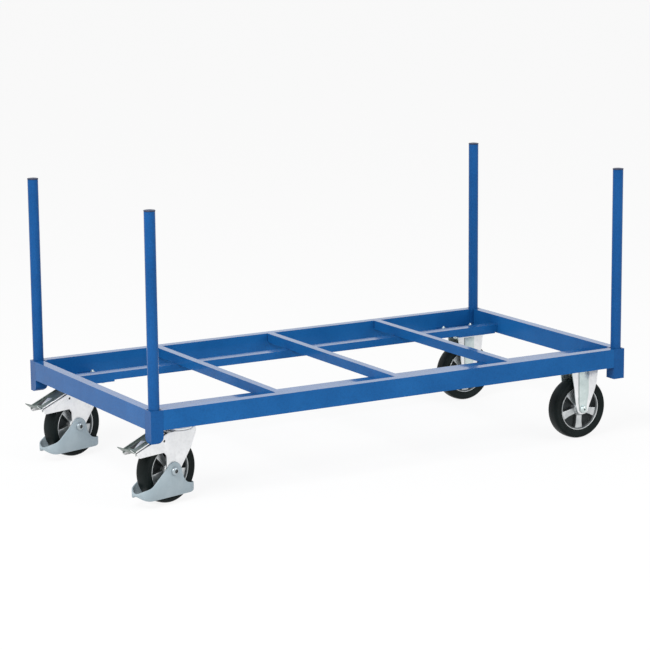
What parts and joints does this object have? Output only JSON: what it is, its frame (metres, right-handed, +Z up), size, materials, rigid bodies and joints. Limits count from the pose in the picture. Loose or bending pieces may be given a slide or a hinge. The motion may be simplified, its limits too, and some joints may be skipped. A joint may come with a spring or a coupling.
{
  "type": "stake cart",
  "caption": "Low open steel frame cart with cross tubes, lift-out corner stakes, fixed castors at one end and braked swivel castors with foot guards at the other, for carrying long loads.",
  "frame": {"origin": "on the floor under the middle of the whole cart's outline at rest, 37.4 mm from the middle of the frame towards the swivel castors, whose pedals stand out past that end", "axes": "+X along the frame towards the fixed castors, -Y towards the long side that faces the viewer of the picture, +Z up"},
  "size_m": [1.7748, 0.87, 0.8853],
  "materials": {
    "blue_paint": "semi-gloss powder coat",
    "zinc_plate": "bright zinc plated, pressed",
    "tyre_rubber": "matt elastic rubber",
    "cast_aluminium": "die cast",
    "guard_plastic": "fine satin moulding",
    "dark_plastic": "satin moulding",
    "pedal_steel": "dull zinc plated, pressed",
    "dark_steel": "oiled dark steel"
  },
  "bodies": {
    "frame": {"rail_front": "blue_paint", "rail_back": "blue_paint", "end_member_left": "blue_paint", "end_member_right": "blue_paint", "crossmember_1": "blue_paint", "crossmember_2": "blue_paint", "crossmember_3": "blue_paint", "inner_member_front": "blue_paint", "inner_member_back": "blue_paint", "socket_front_left": "blue_paint", "socket_front_right": "blue_paint", "socket_back_left": "blue_paint", "socket_back_right": "blue_paint", "mount_plate_front_left": "blue_paint", "mount_plate_front_right": "blue_paint", "mount_plate_back_left": "blue_paint", "mount_plate_back_right": "blue_paint", "fixed_fork_front": "zinc_plate", "fixed_fork_back": "zinc_plate", "fixed_axle_bolt_front": "zinc_plate", "fixed_axle_bolt_back": "zinc_plate", "fixed_axle_nut_front": "zinc_plate", "fixed_axle_nut_back": "zinc_plate", "swivel_plate_front": "zinc_plate", "swivel_plate_back": "zinc_plate", "swivel_race_front": "zinc_plate", "swivel_race_back": "zinc_plate", "kingpin_front": "zinc_plate", "kingpin_back": "zinc_plate"},
    "stake_unit_front_left": {"stake_front_left": "blue_paint", "stake_cap_front_left": "dark_plastic"},
    "stake_unit_front_right": {"stake_front_right": "blue_paint", "stake_cap_front_right": "dark_plastic"},
    "stake_unit_back_left": {"stake_back_left": "blue_paint", "stake_cap_back_left": "dark_plastic"},
    "stake_unit_back_right": {"stake_back_right": "blue_paint", "stake_cap_back_right": "dark_plastic"},
    "fixed_wheel_front": {"fixed_tyre_front": "tyre_rubber", "fixed_rim_front": "cast_aluminium"},
    "fixed_wheel_back": {"fixed_tyre_back": "tyre_rubber", "fixed_rim_back": "cast_aluminium"},
    "castor_front": {"swivel_fork_front": "zinc_plate", "swivel_axle_bolt_front": "zinc_plate", "swivel_axle_nut_front": "zinc_plate", "foot_guard_front": "guard_plastic"},
    "castor_back": {"swivel_fork_back": "zinc_plate", "swivel_axle_bolt_back": "zinc_plate", "swivel_axle_nut_back": "zinc_plate", "foot_guard_back": "guard_plastic"},
    "swivel_wheel_front": {"swivel_tyre_front": "tyre_rubber", "swivel_rim_front": "cast_aluminium"},
    "swivel_wheel_back": {"swivel_tyre_back": "tyre_rubber", "swivel_rim_back": "cast_aluminium"},
    "pedal_front": {"brake_pedal_front": "pedal_steel"},
    "pedal_back": {"brake_pedal_back": "pedal_steel"},
    "shoe_front": {"brake_shoe_front": "dark_steel"},
    "shoe_back": {"brake_shoe_back": "dark_steel"}
  },
  "joints": [
    {"name": "stake_lift_front_left", "type": "slide", "parent": "frame", "child": "stake_unit_front_left", "axis": [0, 0, 1], "range_m": [0, 0.12]},
    {"name": "stake_lift_front_right", "type": "slide", "parent": "frame", "child": "stake_unit_front_right", "axis": [0, 0, 1], "range_m": [0, 0.12]},
    {"name": "stake_lift_back_left", "type": "slide", "parent": "frame", "child": "stake_unit_back_left", "axis": [0, 0, 1], "range_m": [0, 0.12]},
    {"name": "stake_lift_back_right", "type": "slide", "parent": "frame", "child": "stake_unit_back_right", "axis": [0, 0, 1], "range_m": [0, 0.12]},
    {"name": "fixed_wheel_spin_front", "type": "hinge", "parent": "frame", "child": "fixed_wheel_front", "pos_m": [0.77237, -0.335, 0.1], "axis": [0, 1, 0], "continuous": true},
    {"name": "fixed_wheel_spin_back", "type": "hinge", "parent": "frame", "child": "fixed_wheel_back", "pos_m": [0.77237, 0.335, 0.1], "axis": [0, 1, 0], "continuous": true},
    {"name": "castor_swivel_front", "type": "hinge", "parent": "frame", "child": "castor_front", "pos_m": [-0.68063, -0.335, 0.22], "axis": [0, 0, 1], "continuous": true},
    {"name": "castor_swivel_back", "type": "hinge", "parent": "frame", "child": "castor_back", "pos_m": [-0.68063, 0.335, 0.22], "axis": [0, 0, 1], "continuous": true},
    {"name": "swivel_wheel_spin_front", "type": "hinge", "parent": "castor_front", "child": "swivel_wheel_front", "pos_m": [-0.72506, -0.34691, 0.1], "axis": [-0.2588, 0.9659, 0], "continuous": true},
    {"name": "swivel_wheel_spin_back", "type": "hinge", "parent": "castor_back", "child": "swivel_wheel_back", "pos_m": [-0.72506, 0.32309, 0.1], "axis": [-0.2588, 0.9659, 0], "continuous": true},
    {"name": "brake_pedal_press_front", "type": "hinge", "parent": "castor_front", "child": "pedal_front", "pos_m": [-0.7579, -0.35571, 0.19517], "axis": [0.2588, -0.9659, 0], "range_deg": [0, 15]},
    {"name": "brake_pedal_press_back", "type": "hinge", "parent": "castor_back", "child": "pedal_back", "pos_m": [-0.7579, 0.31429, 0.19517], "axis": [0.2588, -0.9659, 0], "range_deg": [0, 15]},
    {"name": "brake_shoe_drop_front", "type": "slide", "parent": "castor_front", "child": "shoe_front", "axis": [0, 0, -1], "range_m": [0, 0.0035]},
    {"name": "brake_shoe_drop_back", "type": "slide", "parent": "castor_back", "child": "shoe_back", "axis": [0, 0, -1], "range_m": [0, 0.0035]}
  ],
  "couplings": [
    {"joint": "brake_shoe_drop_front", "follows": "brake_pedal_press_front", "m_per_rad": 0.0133},
    {"joint": "brake_shoe_drop_back", "follows": "brake_pedal_press_back", "m_per_rad": 0.0133}
  ]
}
